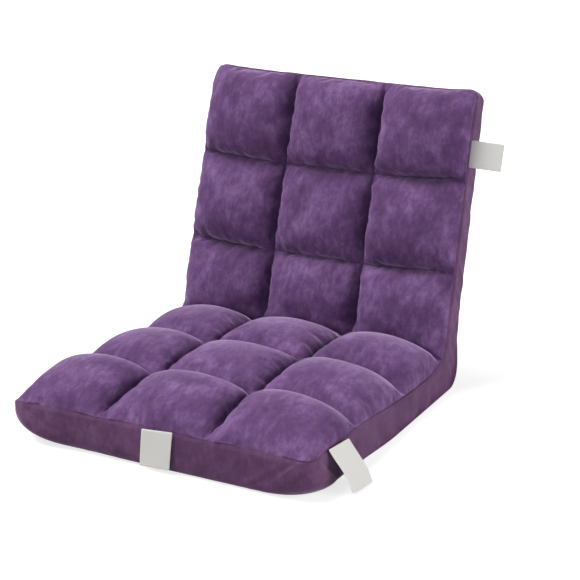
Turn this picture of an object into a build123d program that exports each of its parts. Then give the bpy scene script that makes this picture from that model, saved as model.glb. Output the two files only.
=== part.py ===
from build123d import *
import os
from math import atan, cos, degrees, radians, sin, tan

# Quilted floor chair: two padded tube frames joined by a ratchet hinge on each side, in a sewn cover.
# Millimetres, +Z up, the chair faces -Y, origin on the floor under the middle of the seat.
# Everything that belongs to the back is drawn lying flat behind the hinge and then raised.

# Whole chair
WIDTH = 520.0               # across the side bands
SEAT_LENGTH = 515.0         # front seam to hinge axis
BACK_LENGTH = 478.0         # hinge axis to top seam
BACK_TAPER = 12.0           # how much narrower the back is at its top seam
HINGE_HEIGHT = 30.0         # hinge axis above the floor
SEAM_HEIGHT = 70.0          # seat's quilt seam above the floor
REST_ANGLE = 105.0          # between seat and back as the chair stands
UPRIGHT_ANGLE = 90.0        # the most upright stop
FLAT_ANGLE = 180.0          # the lowest stop

# Cover
CLOTH = 2.0                 # thickness of the lined cover
SEAT_CORNER_R = 56.0        # corners in plan
BACK_CORNER_R = 30.0
BASE_TUCK_R = 30.0          # band's tuck under the seat
SEAM_TUCK_R = 6.0           # band's roll into the quilt seam
REAR_TUCK_R = 12.0          # band's roll into the rear panel
BACK_REAR = 29.0            # rear face behind the frame's plane
BACK_FRONT_LOW = 23.0       # quilt seam before the frame's plane, at the hinge
BACK_FRONT_TOP = 12.0       # the same at the top seam

# Quilts
COLUMN = 174.0              # width of the middle column of cells
SEAT_FRONT_ROW = 142.0
SEAT_MIDDLE_ROW = 165.0
BACK_TOP_ROW = 150.0
BACK_MIDDLE_ROW = 156.0
SEAT_LIFT = 20.0            # inner stitching above the outer
BACK_LIFT = 8.0
FOLD_SHARE = 0.1            # part of that lift left in the fold
SEAT_CROWN = 20.0           # rise of a cell above the stitching round it
BACK_CROWN = 20.0
QUILT_EDGE = 3.0            # thickness left along a stitched line
STITCH_RISE = 3.0           # rise of the cloth along a stitched line

# Fold between the quilts
SEAT_MITRE = 50.0           # slope of the seat's share of the fold
BACK_MITRE = UPRIGHT_ANGLE - SEAT_MITRE
FOLD_GAP = 0.5              # left free on each side of the hinge axis
SLEEVE_R = 29.0             # elbow of cloth round the hinge

# Frames
TUBE_R = 9.5
TUBE_WALL = 1.2
TUBE_INSET = 30.0           # tube's centre inside the side bands
TUBE_FRONT_INSET = 40.0     # and inside the front and top seams
BEND_R = 45.0
SEAT_TUBE_END = 50.0        # tube ends, measured from the hinge axis
BACK_TUBE_END = 30.0
SEAT_RUNGS = (170.0, 330.0)     # cross tubes, measured from the hinge axis
BACK_RUNGS = (150.0, 310.0)
WELD_GAP = 0.05
FOAM_GAP = 0.3

# Ratchet hinge
CASING_R = 26.0
PLATE = 2.0
TAIL_LENGTH = 48.0          # casing's tail along the seat tube
TAIL_HALF = 9.0
GEAR_THICKNESS = 6.0
SIDE_PLAY = 0.3             # between the gear and each plate
TONGUE_HALF = 7.5
TONGUE_LENGTH = 30.0        # inside a tube
ARM_START = 24.0            # seat arm's near end from the axis
GEAR_TIP_R = 15.0
GEAR_ROOT_R = 12.0
TOOTH_PITCH = 15.0
LOCK_ANGLE = 250.0          # where the pawl meets the gear, from +Y towards +Z
PIVOT_R = 4.0
PIN_FIT = 0.06
PAWL_PIN_R = 2.5
PAWL_PIN_ANGLE = 213.0
PAWL_PIN_AT = 20.0
PAWL_BOSS_R = 4.5
PAWL_INNER_R = 15.6
PAWL_OUTER_R = 20.5
PAWL_LIFT = 17.0            # swing from engaged to clear
PAWL_PLAY = 0.9             # pawl's tip above the gear's root
PAWL_FACE_PLAY = 3.0        # degrees between the pawl's tooth and the gear's, so that it drops in freely
PAWL_TOOTH = 11.0           # degrees along the pawl's tooth
SPRING_R = 25.7
SPRING_THICK = 0.8
SPRING_PIN_ANGLE = 300.0
SPRING_PIN_AT = 21.0
RIVET_R = 2.2
HEAD_R = 4.0
HEAD_HEIGHT = 1.6
CASING_RIVETS = (31.0, 42.0)    # along the tail from the axis
TUBE_RIVETS = (8.0, 22.0)       # from a tube's end
TUBE_RIVET_R = 2.0

# Labels
LABEL = 0.8                 # thickness
FRONT_LABEL = (54.0, 60.0)
CORNER_LABEL = (57.0, 74.0)
CORNER_LABEL_AT = 83.5      # middle, from the front seam
CORNER_LABEL_TILT = 33.0    # out from the vertical
BACK_LABEL = (58.0, 46.0)
BACK_LABEL_DROP = 111.0     # middle, from the top seam

# Zip in the rear panel
ZIP_AT = 75.0               # from the hinge axis
ZIP_INSET = 65.0            # from the side bands
ZIP_SLOT = 8.4
ZIP_TAPE = 13.0             # width of one tape
ZIP_TAPE_THICK = 0.8
ZIP_COIL = (5.0, 1.8)       # width and height of the closed coil
SLIDER = (16.0, 9.6, 1.6)   # length, width and thickness of its plate
SLIDER_PLAY = 0.3
ZIP_END = 12.0              # slider's middle from the zip's closed end
PULL = (22.0, 5.4, 1.0)     # length, width and thickness of the tab
PULL_PIN_R = 0.7
LUG_R = 1.6                 # slider's lug, which the pull turns on
LUG_WIDTH = 2.0
LUG_HEIGHT = 2.2            # pull's pin above the slider's plate
EAR = 1.2                   # thickness of each ear of the pull

# Positions that follow
BACK_TOP_WIDTH = WIDTH - BACK_TAPER
HINGE_Y = SEAT_LENGTH / 2
FRONT_Y = -SEAT_LENGTH / 2
TUBE_X = WIDTH / 2 - TUBE_INSET
CASING_GAP = GEAR_THICKNESS + 2 * SIDE_PLAY
CASING_HALF = CASING_GAP / 2 + PLATE
SEAT_FOLD = (SEAM_HEIGHT - HINGE_HEIGHT) / tan(radians(SEAT_MITRE))
BACK_FOLD = BACK_FRONT_LOW / tan(radians(BACK_MITRE))
BACK_SLOPE = degrees(atan((BACK_FRONT_LOW - BACK_FRONT_TOP) / BACK_LENGTH))
BACK_REAR_Z = HINGE_HEIGHT - BACK_REAR
ZIP_LENGTH = WIDTH - 2 * ZIP_INSET
HINGE = Axis((0, HINGE_Y, HINGE_HEIGHT), (1, 0, 0))
FAR = 2 * (SEAT_LENGTH + BACK_LENGTH)

parts = {}


def raised(shape):
    """A shape drawn with the back lying flat, swung up to where the back rests."""
    return shape.rotate(HINGE, FLAT_ANGLE - REST_ANGLE)


def polar(radius, angle):
    """Point in the hinge's plane, as (along Y, along Z) from its axis."""
    return (radius * cos(radians(angle)), radius * sin(radians(angle)))


def across(sketch, x0, x1):
    """Sketch drawn in (y, z), extruded from x0 to x1."""
    return extrude(Plane.YZ.offset(x0) * sketch, amount=x1 - x0, dir=(1, 0, 0))


def at_hinge(sketch, x0, x1):
    """Sketch drawn about the hinge axis, extruded from x0 to x1."""
    return across(Pos(HINGE_Y, HINGE_HEIGHT) * sketch, x0, x1)


def rod(radius, x0, x1, y, z):
    """Round bar along X."""
    return across(Pos(y, z) * Circle(radius), x0, x1)


def riveted(radius, head_r, half, x, y, z):
    """Round fastener along X with a domed head on each end; half is its grip to each side of x."""
    body = rod(radius, x - half, x + half, y, z)
    for sign in (-1, 1):
        near = x + sign * half
        head = rod(head_r, min(near, near + sign * HEAD_HEIGHT), max(near, near + sign * HEAD_HEIGHT), y, z)
        rim = head.faces().sort_by(Axis.X)[0 if sign < 0 else -1].edges()
        body += fillet(rim, HEAD_HEIGHT * 0.6)
    return body


def zone(sign, mitre):
    """All that lies on one side of the hinge: square below its axis, mitred above it."""
    near = HINGE_Y + sign * FOLD_GAP
    far = HINGE_Y + sign * FAR
    high = HINGE_HEIGHT + FAR / 2
    lean = near + sign * FAR / 2 / tan(radians(mitre))
    outline = Polygon(
        (far, -FAR), (near, -FAR), (near, HINGE_HEIGHT), (lean, high), (far, high), align=None
    )
    return across(outline, -FAR / 2, FAR / 2)


SEAT_ZONE = zone(-1, SEAT_MITRE)
BACK_ZONE = zone(1, BACK_MITRE)


# Bodies of the two cushions under their quilts

def seat_plan(inset):
    """Seat's outline seen from above, drawn in by inset; it runs past the hinge."""
    plan = RectangleRounded(WIDTH - 2 * inset, 2 * (SEAT_LENGTH - inset), SEAT_CORNER_R - inset)
    return Pos(0, HINGE_Y) * plan


def seat_block(inset):
    """Seat's body under its quilt, drawn in by inset; it runs past the hinge."""
    block = extrude(Pos(0, 0, inset) * seat_plan(inset), amount=SEAM_HEIGHT - 2 * inset)
    block = fillet(block.faces().sort_by(Axis.Z)[0].edges(), BASE_TUCK_R - inset)
    return fillet(block.faces().sort_by(Axis.Z)[-1].edges(), SEAM_TUCK_R - inset)


def seat_layer(z0, z1):
    """Everything between two heights."""
    return Pos(0, 0, (z0 + z1) / 2) * Box(FAR, FAR, z1 - z0)


def back_front(y):
    """Height of the back's quilt seam over the floor, with the back lying flat."""
    return HINGE_HEIGHT + BACK_FRONT_LOW - (y - HINGE_Y) * tan(radians(BACK_SLOPE))


def back_layer(low, drop):
    """Between a height and the quilt seam's sloping plane less drop, with the back lying flat."""
    y0 = HINGE_Y - BACK_LENGTH
    y1 = HINGE_Y + 2 * BACK_LENGTH
    outline = Polygon(
        (y0, low), (y1, low), (y1, back_front(y1) - drop), (y0, back_front(y0) - drop), align=None
    )
    return across(outline, -WIDTH, WIDTH)


def back_plan(inset):
    """Back's outline lying flat, drawn in by inset; it runs past the hinge."""
    start = HINGE_Y - BACK_LENGTH / 2
    top = HINGE_Y + BACK_LENGTH - inset
    half = WIDTH / 2 - inset
    half_top = BACK_TOP_WIDTH / 2 - inset
    corners = [(half, start), (half, HINGE_Y), (half_top, top)]
    plan = Polygon(*corners, *[(-x, y) for x, y in reversed(corners)], align=None)
    return fillet(plan.vertices().sort_by(Axis.Y)[-2:], BACK_CORNER_R - inset)


def back_block(inset):
    """Back's body under its quilt, lying flat, drawn in by inset; it runs past the hinge."""
    block = extrude(back_plan(inset), amount=FAR / 4) & back_layer(BACK_REAR_Z + inset, inset)
    block = fillet(block.faces().sort_by(Axis.Z)[0].edges(), REAR_TUCK_R - inset)
    return fillet(block.faces().sort_by(Axis.Z)[-1].edges(), SEAM_TUCK_R - inset)


# Quilts: rows of stuffed cells between stitched lines

def quilt_section(columns, y, height, side_rise, middle_rise):
    """Cross-section of a quilt: flat below, one arc over each cell, inner lines at the given height."""
    levels = [QUILT_EDGE, height, height, QUILT_EDGE]
    rises = [side_rise, middle_rise, side_rise]
    outline = Polyline((columns[0], QUILT_EDGE), (columns[0], 0), (columns[-1], 0), (columns[-1], QUILT_EDGE))
    for i, rise in enumerate(rises):
        x0, x1 = columns[i], columns[i + 1]
        z0, z1 = levels[i], levels[i + 1]
        outline += ThreePointArc((x0, z0), ((x0 + x1) / 2, (z0 + z1) / 2 + rise), (x1, z1))
    return Plane((0, y, 0), x_dir=(1, 0, 0), z_dir=(0, -1, 0)) * make_face(outline)


def quilt(columns, rows, lift, crown):
    """Panel lying on z = 0; its outer stitching is low, its inner stitching is lifted by the padding."""
    shares = (0.0, 1.0, 1.0, FOLD_SHARE)
    panel = Part()
    for i in range(len(rows) - 1):
        middle = 0.25 * min(shares[i], shares[i + 1]) + 0.75 * max(shares[i], shares[i + 1])
        sections = []
        for y, share, rise in (
            (rows[i], shares[i], STITCH_RISE),
            ((rows[i] + rows[i + 1]) / 2, middle, crown),
            (rows[i + 1], shares[i + 1], STITCH_RISE),
        ):
            height = QUILT_EDGE + lift * share
            sections.append(quilt_section(columns, y, height, rise + lift * share / 3, rise))
        panel += loft(sections)
    return panel


def corner_cut(x, y, sign_x, sign_y, radius):
    """What a rounded corner of a quilt leaves out of the square one at x, y."""
    square = Pos(x, y) * Rectangle(2 * radius, 2 * radius)
    cut = extrude(square - Pos(x - sign_x * radius, y - sign_y * radius) * Circle(radius), amount=FAR / 4)
    keep = Pos(x - sign_x * radius, y, 0) * Box(radius * 2, radius * 4, FAR)
    keep_y = Pos(x, y - sign_y * radius, 0) * Box(radius * 4, radius * 2, FAR)
    return cut - (Pos(-sign_x * radius, 0, 0) * keep) - (Pos(0, -sign_y * radius, 0) * keep_y)


def quilt_columns(half):
    return (-half, -COLUMN / 2, COLUMN / 2, half)


def seat_quilt():
    side = WIDTH / 2 - SEAM_TUCK_R
    front = FRONT_Y + SEAM_TUCK_R
    rows = (
        front,
        FRONT_Y + SEAT_FRONT_ROW,
        FRONT_Y + SEAT_FRONT_ROW + SEAT_MIDDLE_ROW,
        HINGE_Y - SEAT_FOLD - FOLD_GAP,
    )
    panel = Pos(0, 0, SEAM_HEIGHT - CLOTH) * quilt(quilt_columns(side), rows, SEAT_LIFT, SEAT_CROWN)
    for sign in (-1, 1):
        panel -= corner_cut(sign * side, front, sign, -1, SEAT_CORNER_R - SEAM_TUCK_R)
    return panel & SEAT_ZONE


def back_quilt():
    """Drawn flat at the hinge's front seam and tipped to the seam's slope."""
    side = BACK_TOP_WIDTH / 2 - SEAM_TUCK_R
    top = BACK_LENGTH - SEAM_TUCK_R
    rows = (
        top,
        BACK_LENGTH - BACK_TOP_ROW,
        BACK_LENGTH - BACK_TOP_ROW - BACK_MIDDLE_ROW,
        BACK_FOLD + FOLD_GAP,
    )
    panel = quilt(quilt_columns(side), rows, BACK_LIFT, BACK_CROWN)
    for sign in (-1, 1):
        panel -= corner_cut(sign * side, top, sign, 1, BACK_CORNER_R - SEAM_TUCK_R)
    base = Pos(0, HINGE_Y, HINGE_HEIGHT + BACK_FRONT_LOW - CLOTH) * Rot(-BACK_SLOPE, 0, 0)
    return (base * panel) & BACK_ZONE


# Tube frames

def frame_path(end_y, straight_y, bend_y, bend_x):
    """Centre line of a U: two sides, straight from end_y to straight_y, joined across at bend_y."""
    side = [(TUBE_X, end_y), (bend_x, bend_y)]
    if bend_x != TUBE_X:
        side.insert(1, (TUBE_X, straight_y))
    points = [(-x, y) for x, y in side] + side[::-1]
    return FilletPolyline(*[(x, y, HINGE_HEIGHT) for x, y in points], radius=BEND_R)


def along(path, radius):
    """Round bar that follows a path."""
    start = Plane(origin=path @ 0, z_dir=path % 0)
    return sweep(start * Circle(radius), path=path)


def tube(path):
    return along(path, TUBE_R) - along(path, TUBE_R - TUBE_WALL)


def rung(y, half, frame):
    """Cross tube between the frame's sides, whose centres are half to each side, saddled to them."""
    outer = rod(TUBE_R, -half, half, y, HINGE_HEIGHT)
    inner = rod(TUBE_R - TUBE_WALL, -half, half, y, HINGE_HEIGHT)
    return outer - inner - frame


def back_half(y):
    """Half the distance between the back frame's sides."""
    share = (y - BACK_STRAIGHT_Y) / (BACK_BEND_Y - BACK_STRAIGHT_Y)
    return TUBE_X + share * (BACK_BEND_X - TUBE_X)


SEAT_TUBE_Y = HINGE_Y - SEAT_TUBE_END
BACK_TUBE_Y = HINGE_Y + BACK_TUBE_END
SEAT_PATH = frame_path(SEAT_TUBE_Y, SEAT_TUBE_Y - 2 * TONGUE_LENGTH, FRONT_Y + TUBE_FRONT_INSET, TUBE_X)
BACK_STRAIGHT_Y = BACK_TUBE_Y + 2 * TONGUE_LENGTH
BACK_BEND_Y = HINGE_Y + BACK_LENGTH - TUBE_FRONT_INSET
BACK_BEND_X = BACK_TOP_WIDTH / 2 - TUBE_INSET
BACK_PATH = frame_path(BACK_TUBE_Y, BACK_STRAIGHT_Y, BACK_BEND_Y, BACK_BEND_X)


def rivet_places(start, sign):
    """Places of the rivets through one tube end, as distances along Y."""
    return [start + sign * step for step in TUBE_RIVETS]


def tube_rivets(places):
    """Rivets through both tube ends, as one group."""
    group = [
        riveted(TUBE_RIVET_R, HEAD_R, TUBE_R, x, y, HINGE_HEIGHT)
        for x in (-TUBE_X, TUBE_X)
        for y in places
    ]
    return Compound(children=group)


def drilled(shape, places):
    """Holes for the rivets through both tube ends."""
    for x in (-TUBE_X, TUBE_X):
        for y in places:
            shape -= rod(TUBE_RIVET_R + PIN_FIT, x - 2 * TUBE_R, x + 2 * TUBE_R, y, HINGE_HEIGHT)
    return shape


SEAT_RIVET_YS = rivet_places(SEAT_TUBE_Y, -1)
BACK_RIVET_YS = rivet_places(BACK_TUBE_Y, 1)


# Ratchet hinge; every outline is drawn about the hinge axis

def tail_outline(near, far, half):
    """Straight arm along Y between two distances from the axis."""
    return Pos((near + far) / 2, 0) * Rectangle(abs(far - near), 2 * half)


def fastener_points():
    """Casing rivets: two through the tail, one that holds the spring."""
    return [(-step, 0) for step in CASING_RIVETS] + [polar(SPRING_PIN_AT, SPRING_PIN_ANGLE)]


def casing_outline():
    plate = Circle(CASING_R) + tail_outline(0, -TAIL_LENGTH, TAIL_HALF)
    tips = plate.vertices().sort_by(Axis.X)[:2]
    plate = fillet(tips, TAIL_HALF * 0.6)
    plate -= Circle(PIVOT_R + PIN_FIT)
    plate -= Pos(*polar(PAWL_PIN_AT, PAWL_PIN_ANGLE)) * Circle(PAWL_PIN_R + PIN_FIT)
    for point in fastener_points():
        plate -= Pos(*point) * Circle(RIVET_R + PIN_FIT)
    return plate


def gear_outline():
    """Toothed disc and tail, as it stands with the back lying flat: the tail points along +Y."""
    steps = round((FLAT_ANGLE - UPRIGHT_ANGLE) / TOOTH_PITCH)
    notches = [LOCK_ANGLE - TOOTH_PITCH * step for step in range(steps, -1, -1)]
    points = []
    for angle in notches:
        points += [polar(GEAR_ROOT_R, angle), polar(GEAR_TIP_R, angle)]
    points.append(polar(GEAR_TIP_R, notches[-1] + TOOTH_PITCH))
    points.append((0, 0))
    points.append(polar(GEAR_TIP_R, notches[0] - TOOTH_PITCH))
    toothed = Polygon(*points, align=None)
    tail = tail_outline(0, BACK_TUBE_END + TONGUE_LENGTH, TONGUE_HALF)
    return Circle(GEAR_ROOT_R) + toothed + tail - Circle(PIVOT_R + PIN_FIT)


def seat_arm_outline():
    arm = tail_outline(-ARM_START, -SEAT_TUBE_END - TONGUE_LENGTH, TONGUE_HALF)
    arm -= Circle(ARM_START + 1)
    for step in CASING_RIVETS:
        arm -= Pos(-step, 0) * Circle(RIVET_R + PIN_FIT)
    return arm


def sector(r0, r1, a0, a1):
    """Ring sector about the hinge axis, less than half a turn."""
    mid = (a0 + a1) / 2
    outline = (
        ThreePointArc(polar(r1, a0), polar(r1, mid), polar(r1, a1))
        + Line(polar(r1, a1), polar(r0, a1))
        + ThreePointArc(polar(r0, a1), polar(r0, mid), polar(r0, a0))
        + Line(polar(r0, a0), polar(r1, a0))
    )
    return make_face(outline)


def pawl_outline():
    """Pawl held clear of the gear: its engaged outline swung out about its pin."""
    face = LOCK_ANGLE - PAWL_FACE_PLAY
    tooth = Polygon(
        polar(GEAR_ROOT_R + PAWL_PLAY, face), polar(PAWL_INNER_R, face - PAWL_TOOTH),
        polar(PAWL_INNER_R + 1, face - PAWL_TOOTH), polar(PAWL_INNER_R + 1, face), align=None
    )
    centre = polar(PAWL_PIN_AT, PAWL_PIN_ANGLE)
    body = sector(PAWL_INNER_R, PAWL_OUTER_R, PAWL_PIN_ANGLE, LOCK_ANGLE + 5) + tooth
    body += Pos(*centre) * Circle(PAWL_BOSS_R)
    body -= Pos(*centre) * Circle(PAWL_PIN_R + PIN_FIT)
    return Pos(*centre) * Rot(0, 0, -PAWL_LIFT) * Pos(-centre[0], -centre[1]) * body


def spring_outline():
    """Leaf spring round the casing's rim, hooked over its rivet."""
    hook = SPRING_PIN_ANGLE + degrees((RIVET_R + 0.1) / SPRING_PIN_AT)
    wide = degrees(SPRING_THICK / SPRING_PIN_AT)
    leaf = sector(SPRING_R - SPRING_THICK, SPRING_R, LOCK_ANGLE, hook + wide)
    return leaf + sector(SPRING_PIN_AT - RIVET_R, SPRING_R, hook, hook + wide)


def ratchet(side, x, outward):
    """All pieces of one hinge; outward is the sign of X towards the chair's side."""
    half = CASING_GAP / 2
    gear_half = GEAR_THICKNESS / 2
    plate = casing_outline()
    for name, sign in (("casing_outer", outward), ("casing_inner", -outward)):
        x0 = x + sign * half
        x1 = x + sign * CASING_HALF
        parts[f"{side}_{name}"] = at_hinge(plate, min(x0, x1), max(x0, x1))
    arm = at_hinge(seat_arm_outline(), x - half, x + half)
    parts[f"{side}_seat_arm"] = drilled(arm, SEAT_RIVET_YS)
    gear = at_hinge(gear_outline(), x - gear_half, x + gear_half)
    parts[f"{side}_gear_arm"] = raised(drilled(gear, BACK_RIVET_YS))
    parts[f"{side}_pawl"] = at_hinge(pawl_outline(), x - gear_half, x + gear_half)
    parts[f"{side}_pawl_spring"] = at_hinge(spring_outline(), x - gear_half, x + gear_half)
    parts[f"{side}_pivot_pin"] = riveted(PIVOT_R, PIVOT_R + 2.5, CASING_HALF, x, HINGE_Y, HINGE_HEIGHT)
    y, z = polar(PAWL_PIN_AT, PAWL_PIN_ANGLE)
    parts[f"{side}_pawl_pin"] = riveted(PAWL_PIN_R, HEAD_R, CASING_HALF, x, HINGE_Y + y, HINGE_HEIGHT + z)
    rivets = [
        riveted(RIVET_R, HEAD_R, CASING_HALF, x, HINGE_Y + y, HINGE_HEIGHT + z)
        for y, z in fastener_points()
    ]
    parts[f"{side}_casing_rivets"] = Compound(children=rivets)


# Room in the foam for the frames and hinges

def hinge_room(x, start, end, rivet_ys):
    """Room round one hinge and the tube end beside it; start and end are distances along Y."""
    half = CASING_HALF + HEAD_HEIGHT + 1
    room = rod(CASING_R + 1.5, x - half, x + half, HINGE_Y, HINGE_HEIGHT)
    for y in rivet_ys:
        grip = TUBE_R + HEAD_HEIGHT + 1
        room += rod(HEAD_R + 1, x - grip, x + grip, y, HINGE_HEIGHT)
    middle = (start + end) / 2
    room += Pos(x, middle, HINGE_HEIGHT) * Box(2 * half, abs(end - start), 2 * (TAIL_HALF + 1))
    return room


def frame_room(path, rungs, start, end, rivet_ys):
    """Room for one frame with its hinges."""
    room = along(path, TUBE_R + FOAM_GAP)
    for y in rungs:
        room += rod(TUBE_R + FOAM_GAP, -TUBE_X, TUBE_X, y, HINGE_HEIGHT)
    for x in (-TUBE_X, TUBE_X):
        room += hinge_room(x, start, end, rivet_ys)
    return room


SEAT_RUNG_YS = [HINGE_Y - step for step in SEAT_RUNGS]
BACK_RUNG_YS = [HINGE_Y + step for step in BACK_RUNGS]

# Seat frame
seat_frame = along(SEAT_PATH, TUBE_R + WELD_GAP)
parts["seat_tube"] = drilled(tube(SEAT_PATH), SEAT_RIVET_YS)
parts["seat_cross_tube_rear"] = rung(SEAT_RUNG_YS[0], TUBE_X, seat_frame)
parts["seat_cross_tube_front"] = rung(SEAT_RUNG_YS[1], TUBE_X, seat_frame)
parts["seat_arm_rivets"] = tube_rivets(SEAT_RIVET_YS)

# Back frame
back_frame = along(BACK_PATH, TUBE_R + WELD_GAP)
parts["back_tube"] = raised(drilled(tube(BACK_PATH), BACK_RIVET_YS))
parts["back_cross_tube_lower"] = raised(rung(BACK_RUNG_YS[0], back_half(BACK_RUNG_YS[0]), back_frame))
parts["back_cross_tube_upper"] = raised(rung(BACK_RUNG_YS[1], back_half(BACK_RUNG_YS[1]), back_frame))
parts["back_arm_rivets"] = raised(tube_rivets(BACK_RIVET_YS))

# Hinges
ratchet("left", -TUBE_X, -1)
ratchet("right", TUBE_X, 1)

# Seat's upholstery
seat_foam = (seat_block(CLOTH + FOAM_GAP) & SEAT_ZONE) - frame_room(
    SEAT_PATH, SEAT_RUNG_YS, HINGE_Y - TAIL_LENGTH - 4, HINGE_Y, SEAT_RIVET_YS
)
parts["seat_foam_lower"] = seat_foam & seat_layer(0, HINGE_HEIGHT)
parts["seat_foam_upper"] = seat_foam & seat_layer(HINGE_HEIGHT, SEAM_HEIGHT)
parts["seat_quilt"] = seat_quilt()
base_prism = extrude(seat_plan(BASE_TUCK_R), amount=CLOTH)
parts["seat_base_panel"] = base_prism & SEAT_ZONE
seat_opening = Pos(0, 0, HINGE_HEIGHT) * extrude(seat_plan(SEAM_TUCK_R), amount=SEAM_HEIGHT)
seat_shell = seat_block(0) - seat_block(CLOTH) - seat_opening - base_prism
parts["seat_band"] = seat_shell & SEAT_ZONE

# Back's upholstery
zip_y = HINGE_Y + ZIP_AT
zip_room = Pos(0, zip_y, BACK_REAR_Z + CLOTH) * Box(
    ZIP_LENGTH + 8, 2 * ZIP_TAPE + 6, 2 * (ZIP_TAPE_THICK + FOAM_GAP)
)
back_foam = (back_block(CLOTH + FOAM_GAP) & BACK_ZONE) - zip_room - frame_room(
    BACK_PATH, BACK_RUNG_YS, HINGE_Y, BACK_TUBE_Y + 4, BACK_RIVET_YS
)
parts["back_foam_rear"] = raised(back_foam & seat_layer(BACK_REAR_Z, HINGE_HEIGHT))
parts["back_foam_front"] = raised(back_foam & seat_layer(HINGE_HEIGHT, SEAM_HEIGHT))
parts["back_quilt"] = raised(back_quilt())
back_opening = Pos(0, 0, HINGE_HEIGHT) * extrude(back_plan(SEAM_TUCK_R), amount=SEAM_HEIGHT)
rear_prism = Pos(0, 0, BACK_REAR_Z) * extrude(back_plan(REAR_TUCK_R), amount=CLOTH)
back_shell = back_block(0) - back_block(CLOTH) - back_opening - rear_prism
parts["back_band"] = raised(back_shell & BACK_ZONE)
zip_slot = Pos(0, zip_y, BACK_REAR_Z) * Box(ZIP_LENGTH, ZIP_SLOT, 4 * CLOTH)
parts["back_rear_panel"] = raised((rear_prism & BACK_ZONE) - zip_slot)

# Cover at the fold: the elbow behind the hinge and the strip in the crease
back_at = FLAT_ANGLE - REST_ANGLE
gap_angle = degrees(FOLD_GAP / SLEEVE_R)
elbow = sector(SLEEVE_R - CLOTH, SLEEVE_R, 270 + gap_angle, 270 + back_at - gap_angle)
elbow = at_hinge(elbow, -WIDTH / 2, WIDTH / 2)
cheek = sector(CLOTH, SLEEVE_R - CLOTH, 270 + gap_angle, 270 + back_at - gap_angle)
for edge in (-WIDTH / 2, WIDTH / 2 - CLOTH):
    elbow += at_hinge(cheek, edge, edge + CLOTH)
parts["hinge_sleeve"] = elbow
seat_edge_r = (SEAM_HEIGHT - HINGE_HEIGHT) / sin(radians(SEAT_MITRE))
back_edge_r = BACK_FRONT_LOW / sin(radians(BACK_MITRE))
seat_edge_at = FLAT_ANGLE - SEAT_MITRE - degrees(FOLD_GAP / seat_edge_r)
back_edge_at = back_at + BACK_MITRE + degrees(FOLD_GAP / back_edge_r)
crease = Polygon(
    polar(seat_edge_r, seat_edge_at), polar(back_edge_r, back_edge_at),
    polar(back_edge_r - CLOTH, back_edge_at), polar(seat_edge_r - CLOTH, seat_edge_at), align=None
)
parts["crease_strip"] = at_hinge(crease, SEAM_TUCK_R - WIDTH / 2, WIDTH / 2 - SEAM_TUCK_R)

# Labels caught in the seams
label_top = SEAM_HEIGHT - SEAM_TUCK_R
width, height = FRONT_LABEL
parts["front_label"] = Pos(0, FRONT_Y - LABEL / 2, label_top - height / 2) * Box(width, LABEL, height)
width, height = CORNER_LABEL
corner = Pos(LABEL / 2, 0, -height / 2) * Box(LABEL, width, height)
corner_place = Pos(WIDTH / 2, FRONT_Y + CORNER_LABEL_AT, label_top) * Rot(0, -CORNER_LABEL_TILT, 0)
parts["corner_label"] = corner_place * corner
width, height = BACK_LABEL
label_y = HINGE_Y + BACK_LENGTH - BACK_LABEL_DROP
lower_end = BACK_LENGTH - BACK_LABEL_DROP - height / 2
half_there = WIDTH / 2 - (WIDTH - BACK_TOP_WIDTH) / 2 * lower_end / BACK_LENGTH
label_z = back_front(label_y + height / 2) - SEAM_TUCK_R - LABEL
parts["back_label"] = raised(Pos(half_there + width / 2, label_y, label_z) * Box(width, height, LABEL))

# Zip
tape_z = BACK_REAR_Z + CLOTH + ZIP_TAPE_THICK / 2
tapes = [
    Pos(0, zip_y + sign * (ZIP_TAPE + 0.4) / 2, tape_z) * Box(ZIP_LENGTH + 6, ZIP_TAPE, ZIP_TAPE_THICK)
    for sign in (-1, 1)
]
parts["zip_tape"] = raised(Compound(children=tapes))
coil = Box(ZIP_LENGTH, ZIP_COIL[0], ZIP_COIL[1])
coil = fillet(coil.edges().filter_by(Axis.X), ZIP_COIL[1] * 0.4)
parts["zip_coil"] = raised(Pos(0, zip_y, BACK_REAR_Z + CLOTH - ZIP_COIL[1] / 2) * coil)
slider_x = ZIP_LENGTH / 2 - ZIP_END
plate_top = BACK_REAR_Z - SLIDER_PLAY
slider = Pos(slider_x, zip_y, plate_top - SLIDER[2] / 2) * Box(*SLIDER)
slider = fillet(slider.edges().filter_by(Axis.Z), 2.5)
flange_y = (ZIP_COIL[0] + ZIP_SLOT) / 4
for sign in (-1, 1):
    flange = Box(SLIDER[0] * 0.7, 0.9, CLOTH)
    slider += Pos(slider_x, zip_y + sign * flange_y, plate_top + CLOTH / 2) * flange
lug_z = plate_top - SLIDER[2] - LUG_HEIGHT
pin_place = Pos(slider_x, zip_y, lug_z) * Rot(90, 0, 0)
lug = Pos(slider_x, zip_y, lug_z + LUG_HEIGHT / 2) * Box(2 * LUG_R, LUG_WIDTH, LUG_HEIGHT)
lug += pin_place * Cylinder(LUG_R, LUG_WIDTH)
parts["zip_slider"] = raised(slider + lug - pin_place * Cylinder(PULL_PIN_R + PIN_FIT, 2 * LUG_WIDTH))
tab_start = 2 * LUG_R
tab = Pos(tab_start + PULL[0] / 2, 0) * RectangleRounded(PULL[0], PULL[1], PULL[1] * 0.4)
tab = Pos(slider_x, zip_y, lug_z - PULL[2] / 2) * extrude(tab, amount=PULL[2])
ear_y = LUG_WIDTH / 2 + SLIDER_PLAY + EAR / 2
for sign in (-1, 1):
    ear = Pos(slider_x + tab_start, zip_y + sign * ear_y, lug_z)
    tab += ear * Box(2 * tab_start, EAR, PULL[2])
    tab += ear * Pos(-tab_start, 0, 0) * Rot(90, 0, 0) * Cylinder(PULL_PIN_R + 0.5, EAR)
parts["zip_pull"] = raised(tab + pin_place * Cylinder(PULL_PIN_R, 2 * ear_y))

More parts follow.
